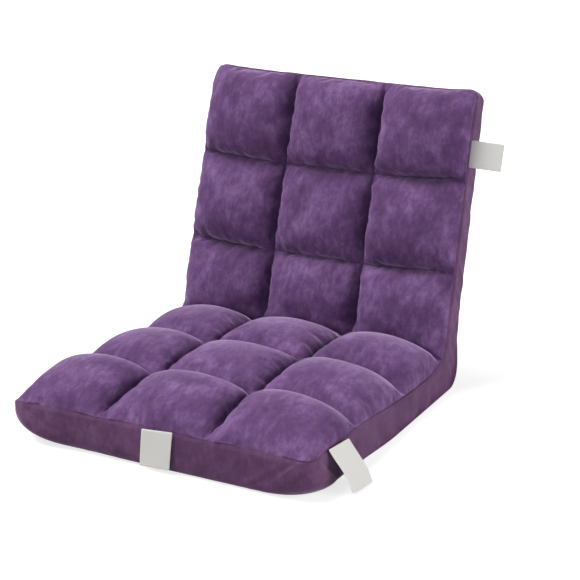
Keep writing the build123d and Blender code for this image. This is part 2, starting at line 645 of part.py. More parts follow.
os.makedirs("parts", exist_ok=True)
for name, shape in parts.items():
    export_step(shape, f"parts/{name}.step")
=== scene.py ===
from math import cos, pi, radians, sin

import bpy
import numpy as np
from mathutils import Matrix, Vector


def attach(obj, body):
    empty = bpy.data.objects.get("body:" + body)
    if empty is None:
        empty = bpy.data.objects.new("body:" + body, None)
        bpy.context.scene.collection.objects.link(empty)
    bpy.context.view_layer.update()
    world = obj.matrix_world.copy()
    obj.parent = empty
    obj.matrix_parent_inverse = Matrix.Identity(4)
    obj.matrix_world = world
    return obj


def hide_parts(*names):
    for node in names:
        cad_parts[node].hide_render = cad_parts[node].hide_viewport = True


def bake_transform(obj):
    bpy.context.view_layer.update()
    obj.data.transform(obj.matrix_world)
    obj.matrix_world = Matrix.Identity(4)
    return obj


# Looks of the quilted floor chair. Shapes are drawn in millimetres in the CAD's frame and scaled once.
MM = 0.001

# Seams of the seat and the back
HALF = 259.0                  # side seams from the middle
FRONT = -254.0                # front seam
HINGE_Y, HINGE_Z = 257.5, 30.0
SEAM_Z = 70.0                 # seat's seam above the floor
LEAN = radians(75.0)          # back's direction, from +Y towards +Z
BACK_LENGTH = 478.0           # top seam from the hinge axis
BACK_TOP_HALF = 252.0         # side seams from the middle at the top
BACK_REAR = 30.0              # rear panel behind the back's frame
BACK_SEAM, BACK_TAPER = 21.0, 9.0    # front seam before the frame at the hinge, and how much less at the top
TOP_ROLL, ROLL_REACH = 9.0, 45.0     # the front seam rolls back towards the top
TOP_EAR, TOP_TILT, TOP_SAG = 5.5, 4.0, 2.5    # the top edge's corners, slope and middle
TOP_REACH = 70.0              # how far down the top edge's shape is felt
SEAT_CORNER, LEFT_CORNER, BACK_CORNER = 24.0, 9.0, 20.0    # plan corners at the seam
SEAM_PULL = 3.0               # the seams lie in a little

# Quilts
COLUMN = 87.0                 # inner stitching from the middle
COLUMNS = [-HALF, -COLUMN, COLUMN, HALF]
SEAT_ROWS = (149.0, 312.0)    # inner stitching behind the front seam
BACK_ROWS = (161.0, 316.0)    # inner stitching below the top seam
CREASE_R, CREASE_AT = 46.0, radians(122.0)   # bottom of the fold, about the hinge axis
SEAT_LIFT, BACK_LIFT = 18.0, 6.0     # inner stitching above the outer seam
FOLD_SHARE = 0.1              # share of that lift at the fold
CROWN = 28.0                  # rise of a cell above the stitching round it
OUTER_FAT, UNEVEN_FAT = 0.2, 0.06    # share by which outer cells are fuller, and by which cells differ
DOME_POWER = 0.62             # lower is fuller near the stitching
OVERHANG = 9.0                # how far outer cells hang over the seam
OVER_SIDE, OVER_TOP = 0.6, 1.1       # shares of the overhang on the back
SEAT_SKEW, BACK_SKEW = (1.5, 1.15, 1.0), (1.15, 1.15, 1.1)    # shift of each row's filling
ROW_BOWS = ((22.0, 5.0), (26.0, 28.0))    # left and right ends of the seat's rows behind their middles
ROW_BOW_POWER = 1.3
COLUMN_SPLAY = 14.0           # the seat's left inner stitching leads outwards to the front
BACK_BOW = 11.0               # ends of the back's rows above their middles
CELL = 40                     # mesh steps across a cell
LINE_CLOSENESS = 0.5          # how much closer the steps lie at the stitching

# Droop of the seat's side seams and of the fold's ends
DROOP_POWER = 5               # how steeply the droop grows towards the sides
SIDE_DROOP = 6.0              # at the front corners
DROOP_GAIN, GAIN_FROM, GAIN_REACH = 18.5, -160.0, 290.0    # more along the sides
DROOP_LOSS, LOSS_FROM, LOSS_REACH = 10.0, 175.0, 58.0      # less again before the fold
FOLD_DROOP, FOLD_REACH = SIDE_DROOP + DROOP_GAIN - DROOP_LOSS, 90.0
FOLD_TOP = 60.0               # up to here the back's seam rises out of the fold
FRONT_DROOP, FRONT_REACH = 4.5, 150.0

# Thread's pull along the inner stitching and gathers along all of it
THREAD_REACH = 3.4            # half width of a stitched groove
CROSSING_PULL = 1.15          # most pull where lines cross, in shares of a line's
SEAT_PULL, SEAT_PULL_FADE = 10.0, 90.0
BACK_PULL, BACK_PULL_FADE = 9.0, 40.0
GATHER_SIDE, GATHER_END, GATHER_INNER = 2.1, 3.0, 1.1    # heights at side seams, end seam, inner lines
GATHER_LENGTH, PATCH_LENGTH, REACH_LENGTH = 6.5, 46.0, 21.0    # along the line
GATHER_START, GATHER_REACH, REACH_SPREAD = 4.0, 13.0, 8.0      # away from the line
GATHER_MEAN, GATHER_VARY, GATHER_TWIST = 0.55, 0.6, 0.02       # strength, its variation, slant
FOLD_FREE = 60.0              # no gathers so near the fold's bottom

# Band, base and rear panel
TUCK_FRONT, TUCK_SIDE, TUCK_TOP = 12.0, 8.0, 12.0    # the band's lower and rear edges lie in from its seam
LEFT_TUCK_FRONT = 20.0
TUCK_BACK = 4.0
SPREAD = 13.0                 # how much further out the base's sides stand towards the hinge
SPREAD_REACH, BACK_SPREAD_REACH = 200.0, 90.0
BASE_CORNER, LEFT_BASE_CORNER = 80.0, 115.0    # plan corners under the seat
BASE_END = HINGE_Y - 4.0      # rear end of the flat base
BAND_STEPS = 18               # mesh steps from seam to base
BAND_STRAIGHT = 0.5           # share of those steps above the lower curve
CURVE_TUCKS, CURVE_LEAST, CURVE_MOST = 2.2, 8.0, 0.7    # lower curve in tucks, in mm, in shares of the band
UNEVEN, UNEVEN_LENGTH = 1.2, 13.0    # the band's waves before it settles
STATIONS = {"front": 44, "corner": 18, "side": 72, "fold": 18, "back": 68, "top corner": 12, "top": 46}
BAND_SLACK = 0.3              # cloth's slack, and below more of it: place, reach in stations, amount
MORE_SLACK = (("corner", 16, 0.5), ("hinge", 16, 0.8), ("back", 10, 0.5), ("top", 10, 0.5))
UNDER_STEPS = 72              # mesh steps across the base
ZIP_AT, ZIP_HALF, ZIP_REACH = 75.0, 4.2, 195.0   # zip's slot up the rear panel, half its width and length

# Seeds of the random draws
SEEDS = {"filling": 11, "seat": 3000, "back": 4000, "right band": 500, "left band": 700}

# Labels
LABEL_THICKNESS = 0.7
LABEL_DROP, LABEL_OUT = 4.0, 1.0     # how far a label's sewn edge lies below the seam and beside it

# Foam under the cover
FOAM_BELOW_SEAM, FOAM_IN, FOAM_CURVE = 14.0, 9.0, 30.0
FOAM_TUCK = TUCK_FRONT + 2.0
FOAM_BELOW_TOP, FOAM_REAR, FOAM_BEHIND_SEAM = 10.0, 4.0, 17.0

# Camera, in pixels of the photograph and in millimetres
PICTURE, FOCAL = 580, 1503.4
EYE = Vector((1124.2, -1972.5, 933.7))
TARGET = Vector((104.8, -22.5, 231.5))

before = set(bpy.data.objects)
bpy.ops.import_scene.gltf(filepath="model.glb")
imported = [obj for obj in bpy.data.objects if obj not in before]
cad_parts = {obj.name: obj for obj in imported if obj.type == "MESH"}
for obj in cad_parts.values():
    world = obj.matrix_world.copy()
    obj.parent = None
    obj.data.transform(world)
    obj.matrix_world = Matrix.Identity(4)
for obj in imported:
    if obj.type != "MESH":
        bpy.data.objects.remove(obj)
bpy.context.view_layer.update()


# Noise and small helpers

def noise1(t, seed):
    """Smooth noise along a line, about -1 to 1, one lattice step per unit."""
    count = 997
    table = np.random.default_rng(seed).uniform(-1, 1, count)
    i = np.floor(t).astype(int)
    f = smooth(t - i)
    return table[i % count] * (1 - f) + table[(i + 1) % count] * f


def smooth(t):
    t = np.clip(t, 0, 1)
    return t * t * (3 - 2 * t)


def on_back(x, s, t):
    """Point of the back: s up along its frame from the hinge axis, t towards its front."""
    y = HINGE_Y + s * cos(LEAN) - t * sin(LEAN)
    z = HINGE_Z + s * sin(LEAN) + t * cos(LEAN)
    return np.stack(np.broadcast_arrays(np.asarray(x, float), y, z), -1)


def from_back(y, z):
    """(s, t) of a point, as on_back takes them."""
    y, z = y - HINGE_Y, z - HINGE_Z
    return y * cos(LEAN) + z * sin(LEAN), -y * sin(LEAN) + z * cos(LEAN)


def back_front(s):
    """How far the back's front seam stands before its frame."""
    roll = TOP_ROLL * smooth((s - BACK_LENGTH + ROLL_REACH) / ROLL_REACH)
    return BACK_SEAM - BACK_TAPER * s / BACK_LENGTH - roll


def top_edge(x, s):
    """How far the back's top edge stands above or below a straight line."""
    place = np.asarray(x) / BACK_TOP_HALF
    shape = TOP_EAR * np.abs(place) ** 6 - TOP_TILT * place - TOP_SAG
    return shape * smooth((np.asarray(s) - BACK_LENGTH + TOP_REACH) / TOP_REACH)


def back_half(s):
    """Half the back's width."""
    return HALF + (BACK_TOP_HALF - HALF) * s / BACK_LENGTH


def mesh_from_grid(name, points, material, flip=False, drop=None, loop=False):
    """Mesh of quads over points[row, column], in millimetres; with loop, the last row joins the first."""
    rows, columns = points.shape[:2]
    index = np.arange(rows * columns).reshape(rows, columns)
    if loop:
        index = np.concatenate([index, index[:1]])
    quads = np.stack([index[:-1, :-1], index[:-1, 1:], index[1:, 1:], index[1:, :-1]], -1)
    if drop is not None:
        quads = quads[~drop]
    quads = quads.reshape(-1, 4)
    if flip:
        quads = quads[:, ::-1]
    mesh = bpy.data.meshes.new(name)
    mesh.from_pydata((points.reshape(-1, 3) * MM).tolist(), [], quads.tolist())
    mesh.validate()
    mesh.polygons.foreach_set("use_smooth", [True] * len(mesh.polygons))
    mesh.materials.append(material)
    obj = bpy.data.objects.new(name, mesh)
    bpy.context.scene.collection.objects.link(obj)
    return obj


def welded(obj):
    """Joins points that lie on each other."""
    modifier = obj.modifiers.new("weld", "WELD")
    modifier.merge_threshold = 0.02 * MM
    return obj


def finer(obj):
    modifier = obj.modifiers.new("finer", "SUBSURF")
    modifier.levels = 1
    modifier.render_levels = 1


# Materials

def node_tree(name):
    material = bpy.data.materials.new(name)
    material.use_nodes = True
    tree = material.node_tree
    return material, tree, tree.nodes["Principled BSDF"]


def colour_ramp(tree, factor, stops):
    ramp = tree.nodes.new("ShaderNodeValToRGB")
    while len(ramp.color_ramp.elements) < len(stops):
        ramp.color_ramp.elements.new(0.5)
    for element, (place, colour) in zip(ramp.color_ramp.elements, stops):
        element.position = place
        element.color = (*colour, 1)
    tree.links.new(factor, ramp.inputs["Fac"])
    return ramp.outputs["Color"]


def noise_node(tree, scale, detail, roughness, stretch=None):
    coordinates = tree.nodes.new("ShaderNodeTexCoord")
    source = coordinates.outputs["Object"]
    if stretch:
        mapping = tree.nodes.new("ShaderNodeMapping")
        mapping.inputs["Scale"].default_value = stretch
        tree.links.new(source, mapping.inputs["Vector"])
        source = mapping.outputs["Vector"]
    noise = tree.nodes.new("ShaderNodeTexNoise")
    noise.inputs["Scale"].default_value = scale
    noise.inputs["Detail"].default_value = detail
    noise.inputs["Roughness"].default_value = roughness
    tree.links.new(source, noise.inputs["Vector"])
    return noise.outputs["Fac"]


def suede(name, dark, mid, light):
    """Napped cloth: patches and streaks where the nap lies differently, fine grain, sheen at the edges."""
    material, tree, shader = node_tree(name)
    patches = noise_node(tree, 17.0, 8.0, 0.66)
    streaks = noise_node(tree, 85.0, 6.0, 0.72, (1.0, 0.4, 0.5))
    both = tree.nodes.new("ShaderNodeMix")
    both.inputs["Factor"].default_value = 0.45
    tree.links.new(patches, both.inputs["A"])
    tree.links.new(streaks, both.inputs["B"])
    shader.inputs["Roughness"].default_value = 0.9
    shader.inputs["Specular IOR Level"].default_value = 0.1
    shader.inputs["Sheen Weight"].default_value = 0.75
    shader.inputs["Sheen Roughness"].default_value = 0.32
    shader.inputs["Sheen Tint"].default_value = (0.76, 0.58, 0.86, 1)
    tree.links.new(
        colour_ramp(tree, both.outputs["Result"], [(0.33, dark), (0.5, mid), (0.67, light)]),
        shader.inputs["Base Color"],
    )
    grain = noise_node(tree, 700.0, 3.0, 0.7)
    lie = noise_node(tree, 70.0, 6.0, 0.7)
    grain_share = 0.3
    mix = tree.nodes.new("ShaderNodeMath")
    mix.operation = "MULTIPLY_ADD"
    mix.inputs[1].default_value = grain_share
    tree.links.new(grain, mix.inputs[0])
    tree.links.new(lie, mix.inputs[2])
    bump = tree.nodes.new("ShaderNodeBump")
    bump.inputs["Strength"].default_value = 0.5
    bump.inputs["Distance"].default_value = 2 * MM
    tree.links.new(mix.outputs[0], bump.inputs["Height"])
    tree.links.new(bump.outputs["Normal"], shader.inputs["Normal"])
    return material


def plain(name, colour, roughness, metallic=0.0):
    material, tree, shader = node_tree(name)
    shader.inputs["Base Color"].default_value = (*colour, 1)
    shader.inputs["Roughness"].default_value = roughness
    shader.inputs["Metallic"].default_value = metallic
    return material


PURPLE = suede("purple_suede", (0.060, 0.026, 0.079), (0.112, 0.053, 0.146), (0.218, 0.122, 0.278))
BAND = suede("mauve_suede", (0.066, 0.027, 0.069), (0.104, 0.045, 0.106), (0.158, 0.077, 0.160))
LABEL = plain("label", (0.58, 0.57, 0.55), 0.6)
FOAM = plain("foam", (0.80, 0.74, 0.55), 0.95)
TUBE = plain("tube_paint", (0.02, 0.02, 0.022), 0.45)
STEEL = plain("zinc_steel", (0.62, 0.62, 0.60), 0.35, 1.0)
TAPE = plain("zip_tape", (0.07, 0.03, 0.12), 0.8)
LACQUER = plain("zip_metal", (0.10, 0.06, 0.15), 0.35, 0.6)


# Quilts: panels pinned along their stitching and blown up by their filling

def cell_lines(lines):
    """Grid positions over cells between stitched lines, closer together near the lines."""
    share = np.arange(CELL) / CELL
    share = share - LINE_CLOSENESS / (2 * pi) * np.sin(2 * pi * share)
    spread = [a + (b - a) * share for a, b in zip(lines, lines[1:])]
    return np.concatenate(spread + [[lines[-1]]])


def cell_share(values, lines):
    """(cell number, place in the cell from 0 to 1) of each value."""
    cell = np.clip(np.searchsorted(lines, values, side="right") - 1, 0, len(lines) - 2)
    lines = np.asarray(lines, float)
    return cell, np.clip((values - lines[cell]) / (lines[cell + 1] - lines[cell]), 0, 1)


def outer_share(x):
    """0 up to the inner columns' stitching, 1 at the side seams."""
    return np.clip((np.abs(x) - COLUMN) / (HALF - COLUMN), 0, 1)


def quilt_base(x, y, rows, lift, skew):
    """A stuffed panel before it settles: height over its seam's plane, how far its outer cells hang over
    the seam in x and y, and how slack its cloth is from 0 to 1. A row's filling shifts towards the fold by
    its skew, a power."""
    i, p = cell_share(x, COLUMNS)
    j, q = cell_share(y, rows)
    across = np.where(i == 0, p, np.where(i == 2, 1 - p, 1.0))
    shares = np.array([0.0, 1.0, 1.0, FOLD_SHARE])
    along = shares[j] + (shares[j + 1] - shares[j]) * q
    cut = np.random.default_rng(SEEDS["filling"]).uniform(-1, 1, (3, 3))
    fat = CROWN * (1 + OUTER_FAT * (i != 1) + OUTER_FAT * (j == 0) + UNEVEN_FAT * cut[i, j])
    sunk = q ** np.asarray(skew)[j]
    dome_p, dome_q = (4 * p * (1 - p)) ** DOME_POWER, (4 * sunk * (1 - sunk)) ** DOME_POWER
    height = lift * across * along + fat * dome_p * dome_q
    over_x = np.where(i != 1, OVERHANG * np.sin(pi * np.clip(2 * across, 0, 1)) * dome_q, 0) * np.sign(x)
    over_y = np.where(j == 0, OVERHANG * np.sin(pi * np.clip(2 * q, 0, 1)) * dome_p, 0)
    slack = np.clip(0.5 + 0.5 * cut[j, i], 0, 1)
    return height, over_x, over_y, slack


def stitched(x, y, rows):
    """True on the stitched lines."""
    on_column = np.min(np.abs(x[..., None] - np.asarray(COLUMNS)), -1) < 1e-6
    on_row = np.min(np.abs(y[..., None] - np.asarray(rows)), -1) < 1e-6
    return on_column | on_row


def grooves(x, y, rows, pull, fade):
    """How deep the thread pulls the cloth in along the inner stitching, less towards the outer seam."""
    depth = np.zeros_like(x)
    for value, lines in ((x, COLUMNS), (y, rows)):
        for line in lines[1:-1]:
            depth += pull * np.exp(-np.abs(value - line) / THREAD_REACH)
    edge = np.minimum(x - COLUMNS[0], COLUMNS[-1] - x)
    edge = np.minimum(edge, np.minimum(y - rows[0], rows[-1] - y))
    return np.minimum(depth, CROSSING_PULL * pull) * smooth(edge / fade)


def puckers(x, y, rows, seed):
    """Small gathers that run out from the stitching, strongest at the outer seam; the fold's end has none.
    What is added to a place along a line only picks a stretch of the noise."""
    lift = np.zeros_like(x)
    sides = [(x - COLUMNS[0], y, GATHER_SIDE), (COLUMNS[-1] - x, y, GATHER_SIDE)]
    sides += [(y - rows[0], x, GATHER_END)]
    sides += [(np.abs(x - line), y, GATHER_INNER) for line in COLUMNS[1:-1]]
    sides += [(np.abs(y - line), x, GATHER_INNER) for line in rows[1:-1]]
    for number, (away, along, size) in enumerate(sides):
        draw = seed + 10 * number
        patch = np.clip(GATHER_MEAN + GATHER_VARY * noise1(along / PATCH_LENGTH + 40, draw), 0, 1)
        wave = noise1(along / GATHER_LENGTH + 90 + GATHER_TWIST * away, draw + 1)
        reach = GATHER_REACH + REACH_SPREAD * noise1(along / REACH_LENGTH + 60, draw + 2)
        lift += size * patch * wave * (1 - np.exp(-away / GATHER_START)) * np.exp(-away / reach)
    return lift * smooth(np.abs(rows[-1] - y) / FOLD_FREE)


def rounded(x, y, end, sign, corner):
    """Draws a square corner region in to a round one; end is the seam's place along y, sign its side."""
    corner = np.asarray(corner, float)
    p = np.clip((np.abs(x) - (HALF - corner)) / corner, 0, 1)
    q = np.clip((sign * (y - end) + corner) / corner, 0, 1)
    moved_x = p * np.sqrt(1 - q * q / 2)
    moved_y = q * np.sqrt(1 - p * p / 2)
    return x + np.sign(x) * corner * (moved_x - p), y + sign * corner * (moved_y - q)


def drawn_in(px, py, on_seam, end, sign, corner):
    """Pulls the outer seam in, square to its round-cornered outline."""
    dx = np.maximum(np.abs(px) - (HALF - corner), 0) * np.sign(px)
    dy = sign * np.maximum(sign * (py - end) + corner, 0)
    size = np.where(on_seam, SEAM_PULL, 0) / np.maximum(np.hypot(dx, dy), 1e-6)
    return px - dx * size, py - dy * size


CREASE = (HINGE_Y + CREASE_R * cos(CREASE_AT), HINGE_Z + CREASE_R * sin(CREASE_AT))
CREASE_S, CREASE_T = from_back(*CREASE)


def seat_rim(x, y):
    """Height of the seat's seam plane, which droops towards the front seam and along the sides."""
    level = np.interp(y, [FRONT, FRONT + SEAT_ROWS[1], CREASE[0]], [SEAM_Z, SEAM_Z, CREASE[1]])
    side = (np.abs(x) / HALF) ** DROOP_POWER
    front = np.clip((FRONT + FRONT_REACH - y) / FRONT_REACH, 0, 1) ** 3
    gain = DROOP_GAIN * smooth((y - GAIN_FROM) / GAIN_REACH)
    loss = DROOP_LOSS * smooth((y - LOSS_FROM) / LOSS_REACH)
    return level - (SIDE_DROOP + gain - loss) * side - FRONT_DROOP * front * (1 - side)


def back_rim(x, s):
    """How far the back's seam stands before its frame, and how far the ends of the fold droop."""
    rising = np.interp(s, [CREASE_S, FOLD_TOP], [CREASE_T, back_front(FOLD_TOP)])
    t = np.where(s < FOLD_TOP, rising, back_front(s))
    droop = FOLD_DROOP * (np.abs(x) / HALF) ** DROOP_POWER * (1 - smooth((s - CREASE_S) / FOLD_REACH))
    return t, droop


def on_back_rim(x, s, height=0.0):
    """Points at a height over the back's seam."""
    t, droop = back_rim(x, s)
    points = on_back(x, s, t + height)
    points[..., 2] -= droop
    return points


def seat_quilt():
    rows = [FRONT, FRONT + SEAT_ROWS[0], FRONT + SEAT_ROWS[1], CREASE[0]]
    x, y = np.meshgrid(cell_lines(COLUMNS), cell_lines(rows))
    height, over_x, over_y, slack = quilt_base(x, y, rows, SEAT_LIFT, SEAT_SKEW)
    corner = np.where(x < 0, LEFT_CORNER, SEAT_CORNER)
    px, py = rounded(x, y, FRONT, -1, corner)
    px, py = drawn_in(px, py, (np.abs(x) == HALF) | (y == FRONT), FRONT, -1, corner)
    side = outer_share(x) ** ROW_BOW_POWER
    for (left, right), near_row in zip(ROW_BOWS, ([0, 1, 0, 0], [0, 0, 1, 0])):
        py = py + side * np.where(x < 0, left, right) * np.interp(y, rows, near_row)
    in_front = np.clip(1 - (y - FRONT) / SEAT_ROWS[0], 0, 1)
    px = px - COLUMN_SPLAY * np.interp(x, COLUMNS, [0, 1, 0, 0]) * in_front
    points = np.stack([px + over_x, py - over_y, seat_rim(px, py) + height], -1)
    obj = mesh_from_grid("cover_seat_quilt", points, PURPLE)
    groove = grooves(x, y, rows, SEAT_PULL, SEAT_PULL_FADE)[..., None] * np.array((0, 0, -1.0))
    gathers = puckers(x, y, rows, SEEDS["seat"])
    return obj, stitched(x, y, rows).ravel(), slack.ravel(), groove.reshape(-1, 3), gathers.ravel()


def back_quilt():
    rows = [0, *BACK_ROWS, BACK_LENGTH - CREASE_S]
    x, d = np.meshgrid(cell_lines(COLUMNS), cell_lines(rows))
    height, over_x, over_y, slack = quilt_base(x, d, rows, BACK_LIFT, BACK_SKEW)
    s = BACK_LENGTH - d
    px, ps = rounded(x, s, BACK_LENGTH, 1, BACK_CORNER)
    px, ps = drawn_in(px, ps, (np.abs(x) == HALF) | (d == 0), BACK_LENGTH, 1, BACK_CORNER)
    px = px * back_half(ps) / HALF
    share = np.clip((s - CREASE_S) / (BACK_LENGTH - CREASE_S), 0, 1)
    ps = ps + BACK_BOW * outer_share(x) ** 2 * np.sin(pi * share)
    ps = ps + top_edge(px, s)
    points = on_back_rim(px + OVER_SIDE * over_x, ps + OVER_TOP * over_y, height)
    obj = mesh_from_grid("cover_back_quilt", points, PURPLE, flip=True)
    inward = np.array((0, sin(LEAN), -cos(LEAN)))
    groove = grooves(x, d, rows, BACK_PULL, BACK_PULL_FADE)[..., None] * inward
    gathers = puckers(x, d, rows, SEEDS["back"])
    return obj, stitched(x, d, rows).ravel(), slack.ravel(), groove.reshape(-1, 3), gathers.ravel()


def inflate(panels, frames, pressure, slack_low, slack_high):
    """Blows up pinned panels with the cloth solver, keeps the settled shape and adds grooves and gathers."""
    scene = bpy.context.scene
    scene.frame_start, scene.frame_end = 1, frames
    for obj, pinned, slack, _, _ in panels:
        pins = obj.vertex_groups.new(name="pins")
        pins.add([int(i) for i in np.flatnonzero(pinned)], 1.0, "REPLACE")
        loose = obj.vertex_groups.new(name="slack")
        for i, level in enumerate(slack):
            loose.add([i], float(level), "REPLACE")
        cloth = obj.modifiers.new("cloth", "CLOTH")
        cloth.point_cache.frame_start, cloth.point_cache.frame_end = 1, frames
        settings = cloth.settings
        settings.quality = 5
        settings.mass = 0.02
        settings.air_damping = 1.0
        settings.tension_stiffness = settings.compression_stiffness = 30
        settings.shear_stiffness = 10
        settings.bending_stiffness = 0.05
        settings.vertex_group_mass = "pins"
        settings.use_pressure = True
        settings.uniform_pressure_force = pressure
        settings.shrink_min = -slack_low
        settings.shrink_max = -slack_high
        settings.vertex_group_shrink = "slack"
        settings.effector_weights.gravity = 0.0
        cloth.collision_settings.use_collision = False
        cloth.collision_settings.use_self_collision = False
    for number in range(1, frames + 1):
        scene.frame_set(number)
    depsgraph = bpy.context.evaluated_depsgraph_get()
    for obj, _, _, groove, gathers in panels:
        settled = obj.evaluated_get(depsgraph).data
        places = np.empty(len(settled.vertices) * 3, np.float32)
        settled.vertices.foreach_get("co", places)
        obj.modifiers.remove(obj.modifiers["cloth"])
        obj.data.vertices.foreach_set("co", places)
        obj.data.update()
        outward = np.array([v.normal for v in obj.data.vertices])
        moved = places.reshape(-1, 3) + (groove + gathers[:, None] * outward) * MM
        obj.data.vertices.foreach_set("co", np.ravel(moved).astype(np.float32))
        obj.vertex_groups.clear()
    scene.frame_set(1)


# Band, base and rear: stations run from the middle of the front, along one side and up to the top's middle

def stations(side, corner, base_corner, tuck_front):
    """Seam points, base points and outward directions of one half of the cover, drawn on the right."""
    seam, base, out = [], [], []

    def add(s, b, o):
        seam.append(np.asarray(s, float))
        base.append(np.asarray(b, float))
        out.append(np.asarray(o, float))

    marks = {}
    up = np.array((0, cos(LEAN), sin(LEAN)))
    cx, cy = HALF - corner, FRONT + corner
    bx, by = HALF - TUCK_SIDE - base_corner, FRONT + tuck_front + base_corner
    for f in np.linspace(0, 1, STATIONS["front"] + 1):
        tuck = TUCK_FRONT + (tuck_front - TUCK_FRONT) * f
        add((cx * f, FRONT, seat_rim(cx * f, FRONT)), (bx * f, FRONT + tuck, 0), (0, -1, 0))
    marks["corner"] = len(seam) - 1
    for a in np.linspace(-pi / 2, 0, STATIONS["corner"] + 1)[1:]:
        o = np.array((cos(a), sin(a), 0))
        x, y = cx + corner * cos(a), cy + corner * sin(a)
        add((x, y, seat_rim(HALF, y)), (bx, by, 0) + base_corner * o, o)
    for k in range(1, STATIONS["side"] + 1):
        f = k / STATIONS["side"]
        y = cy + (CREASE[0] - cy) * f
        below = by + (BASE_END - by) * f
        tuck = TUCK_SIDE - SPREAD * smooth((below - by) / SPREAD_REACH)
        add((HALF, y, seat_rim(HALF, y)), (HALF - tuck, below, 0), (1, 0, 0))
    marks["hinge"] = len(seam) - 1
    fold = seam[-1]
    for k in range(1, STATIONS["fold"] + 1):
        a = -pi / 2 + k / STATIONS["fold"] * LEAN
        b = (HALF - TUCK_SIDE + SPREAD, HINGE_Y + BACK_REAR * cos(a), HINGE_Z + BACK_REAR * sin(a))
        add(fold, b, (1, 0, 0))
    marks["back"] = len(seam) - 1
    top_s = BACK_LENGTH - BACK_CORNER
    heights = np.linspace(0, top_s, STATIONS["back"] + 1)
    for edge in (ZIP_AT - ZIP_HALF, ZIP_AT + ZIP_HALF):
        heights[np.argmin(np.abs(heights - edge))] = edge
    for sb in heights[1:]:
        s = CREASE_S + (top_s - CREASE_S) * sb / top_s
        rim = on_back_rim(np.array(HALF), np.array(s))
        rim[0] = back_half(s)
        rim += top_edge(side * back_half(s), s) * up
        tuck = TUCK_BACK + (TUCK_SIDE - SPREAD - TUCK_BACK) * (1 - smooth(sb / BACK_SPREAD_REACH))
        add(rim, on_back(back_half(sb) - tuck, sb, -BACK_REAR), (1, 0, 0))
    top_x = back_half(BACK_LENGTH) - BACK_CORNER
    for a in np.linspace(0, pi / 2, STATIONS["top corner"] + 1)[1:]:
        o = np.array((cos(a), 0, 0)) + sin(a) * up
        x, s = top_x + BACK_CORNER * cos(a), top_s + BACK_CORNER * sin(a)
        base_x = top_x + (BACK_CORNER - TUCK_BACK) * cos(a)
        base_s = top_s + (BACK_CORNER - TUCK_TOP) * sin(a)
        add(on_back(x, s + top_edge(side * x, s), back_front(s)), on_back(base_x, base_s, -BACK_REAR), o)
    marks["top"] = len(seam) - 1
    for x in np.linspace(top_x, 0, STATIONS["top"] + 1)[1:]:
        rim = on_back(x, BACK_LENGTH + top_edge(side * x, BACK_LENGTH), back_front(BACK_LENGTH))
        add(rim, on_back(x, BACK_LENGTH - TUCK_TOP, -BACK_REAR), up)
    return np.array(seam), np.array(base), np.array(out), marks


def band_surface(seam, base, out, seed):
    """Rows from seam to base at each station, with a little unevenness for the gathers to start from."""
    drop = base - seam
    tuck = -np.sum(drop * out, -1)
    down = drop + tuck[:, None] * out
    height = np.linalg.norm(down, axis=-1)
    down = down / height[:, None]
    radius = np.clip(CURVE_TUCKS * np.abs(tuck), CURVE_LEAST, CURVE_MOST * height)
    run = np.concatenate([[0], np.cumsum(np.linalg.norm(np.diff((seam + base) / 2, axis=0), axis=-1))])
    points = np.zeros((len(seam), BAND_STEPS + 1, 3))
    for k, share in enumerate(np.linspace(0, 1, BAND_STEPS + 1)):
        if share < BAND_STRAIGHT:
            d = share / BAND_STRAIGHT * (height - radius)
            o = np.zeros_like(height)
        else:
            a = (share - BAND_STRAIGHT) / (1 - BAND_STRAIGHT) * pi / 2
            d = height - radius + radius * sin(a)
            o = -tuck * (1 - cos(a))
        uneven = UNEVEN * noise1(run / UNEVEN_LENGTH + 3 * share, seed) * sin(pi * share)
        pull = SEAM_PULL if k == 0 else 0.0
        points[:, k] = seam + d[:, None] * down + (o + uneven - pull)[:, None] * out
    return points


def cover_band():
    """Closed loop of the band, as inflate takes it, its right and left base edges and its corners' places."""
    halves = []
    for side, corner, base_corner, tuck_front, seed in (
        (1, SEAT_CORNER, BASE_CORNER, TUCK_FRONT, SEEDS["right band"]),
        (-1, LEFT_CORNER, LEFT_BASE_CORNER, LEFT_TUCK_FRONT, SEEDS["left band"]),
    ):
        seam, base, out, marks = stations(side, corner, base_corner, tuck_front)
        halves.append(band_surface(seam, base, out, seed) * (side, 1, 1))
    right, left = halves
    left[0] = right[0] = (left[0] + right[0]) / 2
    left[-1] = right[-1] = (left[-1] + right[-1]) / 2
    loop = np.concatenate([right, left[::-1][1:-1]])
    obj = mesh_from_grid("cover_band", loop, BAND, loop=True)
    pinned = np.zeros(loop.shape[:2], bool)
    pinned[:, 0] = pinned[:, -1] = True
    half = np.full(len(seam), BAND_SLACK)
    index = np.arange(len(seam))
    for mark, reach, amount in MORE_SLACK:
        half += amount * np.exp(-(((index - marks[mark] - reach / 2) / reach) ** 2))
    slack = np.clip(np.concatenate([half, half[::-1][1:-1]]), 0, 1)
    slack = np.repeat(slack[:, None], loop.shape[1], 1)
    still = np.zeros((pinned.size, 3))
    return (obj, pinned.ravel(), slack.ravel(), still, still[:, 0]), right[:, -1], left[:, -1], marks


